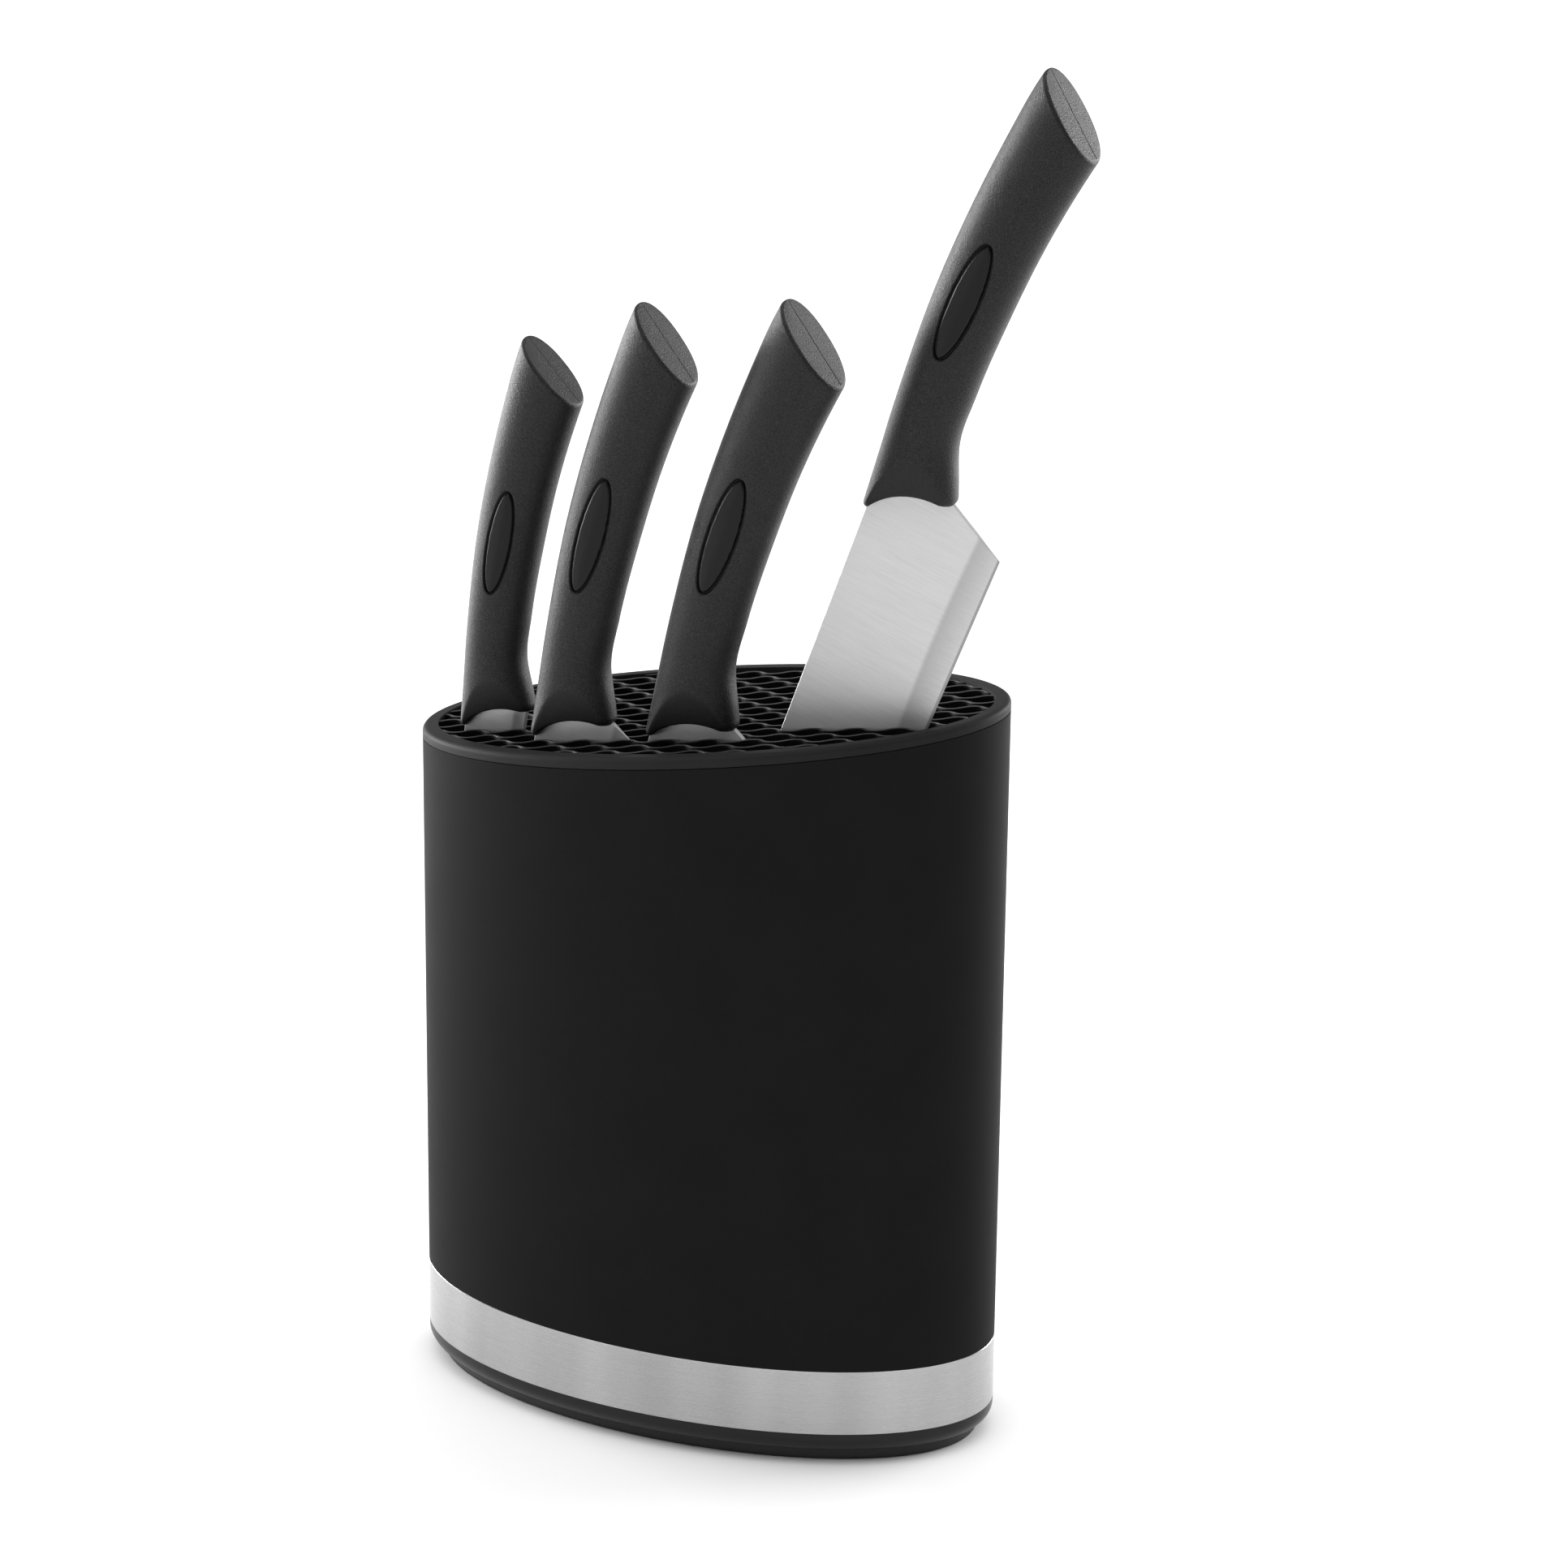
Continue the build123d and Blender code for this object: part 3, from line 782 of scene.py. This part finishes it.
def blade_steps(width, bevel):
    """Distances in from the edge, row by row: close on the bevel and where it starts."""
    inward = np.concatenate([
        np.linspace(0, MICRO_BEVEL, 4),
        np.linspace(MICRO_BEVEL + 0.02, bevel - 1, 9),
        np.linspace(bevel - 0.8, bevel + 0.8, 9),
    ])
    rest = np.linspace(0, 1, FLAT_POINTS)[1:]
    first = np.minimum(inward[None, :], width * np.linspace(0, 0.9, len(inward)))
    flat = first[:, -1:] + (width - BLADE_CHAMFER - first[:, -1:]) * rest
    return np.maximum(np.concatenate([first, flat], axis=1), 0)


def make_blade(knife, shape, bevel):
    """A hollow-ground blade from its tip to the shoulder inside the handle."""
    spine, edge, slope = blade_outline(shape)
    width = np.hypot(*(spine - edge).T)[:, None]
    inside = blade_steps(width, bevel)
    e = edge[:, :1] + (spine[:, :1] - edge[:, :1]) * inside / np.maximum(width, 1e-6)
    u = edge[:, 1:] + (spine[:, 1:] - edge[:, 1:]) * inside / np.maximum(width, 1e-6)
    half = half_thickness(inside, bevel)
    # painted shade of the bevel and the honed strip
    ground = grind_shade_share(inside, bevel)
    # one more column makes the chamfer of the spine, with painted shade
    e = np.concatenate([e, spine[:, :1]], axis=1)
    u = np.concatenate([u, spine[:, 1:]], axis=1)
    half = np.concatenate([half, half[:, -1:] - BLADE_CHAMFER], axis=1)
    ground = np.concatenate([ground, np.full_like(ground[:, -1:], SPINE_SHADE)], axis=1)
    # two more rows make the chamfer of the heel's upper edge, then the face above it, both darker by
    # painted shade
    lift = np.array((slope, 1.0)) / np.hypot(slope, 1.0) * BLADE_CHAMFER
    for rise, thinner, shade in ((lift, BLADE_CHAMFER, CHAMFER_SHADE), (0 * lift, 0, HEEL_SHADE)):
        e = np.concatenate([e, e[-1:] + rise[0]])
        u = np.concatenate([u, u[-1:] + rise[1]])
        half = np.concatenate([half, np.maximum(half[-1:] - thinner, LEAST_HALF)])
        ground = np.concatenate([ground, np.full_like(ground[-1:], shade)])
    # the far side repeats the near one
    e = np.concatenate([e, e[:, ::-1]], axis=1)
    u = np.concatenate([u, u[:, ::-1]], axis=1)
    y = np.concatenate([-half, half[:, ::-1]], axis=1)
    ground = np.concatenate([ground, ground[:, ::-1]], axis=1)
    points = knife.origin + e[..., None] * knife.across + u[..., None] * knife.along
    points = points + y[..., None] * np.array((0, 1, 0))
    rows, columns = y.shape
    faces = grid_faces(rows, columns, True).tolist()
    faces += [face[::-1] for face in cap_faces(0, columns, 0, 0)]
    faces += cap_faces((rows - 1) * columns, columns, 0, 0)
    lean = atan2(knife.along[0], knife.along[2])
    steel = brushed(f"{knife.name}_steel", grey(0.69), 0.42, 0.5, -lean, (0.03, 1, 1), 0.12, ground=True)
    item = make_object(f"{knife.name}_blade_piece", points.reshape(-1, 3), faces, [steel])
    # the painted shade, for the steel's material to read
    add_attribute(item, "ground", ground.reshape(-1))
    sharp = item.modifiers.new("edges", "EDGE_SPLIT")
    sharp.split_angle = SPLIT_ANGLE
    stand_in(item, f"{knife.name}_blade", knife.body)


# E and U of each outline: where the spine starts to curve (U alone), tip, start of the edge's curve,
# heel, and a point further up the heel's slope. Then the width of the bevel.
BLADES = (
    ((-110, (20, -200), (38.6, -75), (41.1, 3.8), (20.5, 13.7)), 8.4),
    ((-125, (27, -178), (41.0, -80), (42.0, 3.5), (21.0, 13.8)), 8.4),
    ((-62, (13, -150), (27.0, -72), (29.0, 9.0), (19.6, 13.6)), 6.0),
    ((-26, (9, -88), (18.4, -30), (19.4, 9.4), (15.0, 12.4)), 4.5),
)

for knife, (shape, bevel) in zip(KNIVES, BLADES):
    make_handle(knife)
    make_blade(knife, shape, bevel)

# ==== floor and light ====

FLOOR_HALF = 4.0
LIGHT_AIM = (0, 0, 0.2)
WORLD_FILL = 0.06
WORLD_SEEN = 1.0


def make_floor():
    corners = [(x * FLOOR_HALF, y * FLOOR_HALF, 0) for x, y in ((-1, -1), (1, -1), (1, 1), (-1, 1))]
    mesh = bpy.data.meshes.new("floor")
    mesh.from_pydata(corners, [], [(0, 1, 2, 3)])
    paint = Paint("floor_white", grey(0.93), 0.9, specular=0.1)
    mesh.materials.append(paint.material)
    floor = bpy.data.objects.new("floor", mesh)
    bpy.context.scene.collection.objects.link(floor)


def softbox(name, place, width, height, power):
    """A rectangle of light that points at the middle of the block and isn't seen itself."""
    data = bpy.data.lights.new(name, "AREA")
    data.shape = "RECTANGLE"
    data.size = width
    data.size_y = height
    data.energy = power
    lamp = bpy.data.objects.new(name, data)
    lamp.location = place
    direction = Vector(LIGHT_AIM) - Vector(place)
    lamp.rotation_euler = direction.to_track_quat("-Z", "Y").to_euler()
    lamp.visible_camera = False
    bpy.context.scene.collection.objects.link(lamp)


def overhead(name, strength, width):
    """Even light from a wide patch of ceiling, its width in degrees."""
    data = bpy.data.lights.new(name, "SUN")
    data.energy = strength
    data.angle = radians(width)
    lamp = bpy.data.objects.new(name, data)
    bpy.context.scene.collection.objects.link(lamp)


def background(node, strength):
    node.inputs["Color"].default_value = (1, 1, 1, 1)
    node.inputs["Strength"].default_value = strength
    return node.outputs["Background"]


def make_world():
    """A white background that lights the object only faintly."""
    world = bpy.data.worlds.new("studio")
    bpy.context.scene.world = world
    world.use_nodes = True
    tree = world.node_tree
    fill = background(tree.nodes["Background"], WORLD_FILL)
    seen = background(tree.nodes.new("ShaderNodeBackground"), WORLD_SEEN)
    path = tree.nodes.new("ShaderNodeLightPath")
    mix = tree.nodes.new("ShaderNodeMixShader")
    tree.links.new(path.outputs["Is Camera Ray"], mix.inputs["Fac"])
    tree.links.new(fill, mix.inputs[1])
    tree.links.new(seen, mix.inputs[2])
    tree.links.new(mix.outputs["Shader"], tree.nodes["World Output"].inputs["Surface"])


def make_light():
    softbox("left_box", (-1.6, 0.15, 0.3), 1.0, 0.5, 36)
    softbox("right_box", (0.95, 1.35, 0.38), 1.2, 0.6, 31)
    softbox("back_box", (-0.6, 2.3, 0.5), 3.6, 0.9, 8)
    softbox("front_box", (-1.25, -2.3, 0.5), 1.4, 0.9, 5)
    overhead("overhead", 3.1, 100)
    bpy.context.scene.view_settings.view_transform = "Standard"


make_floor()
make_world()
make_light()
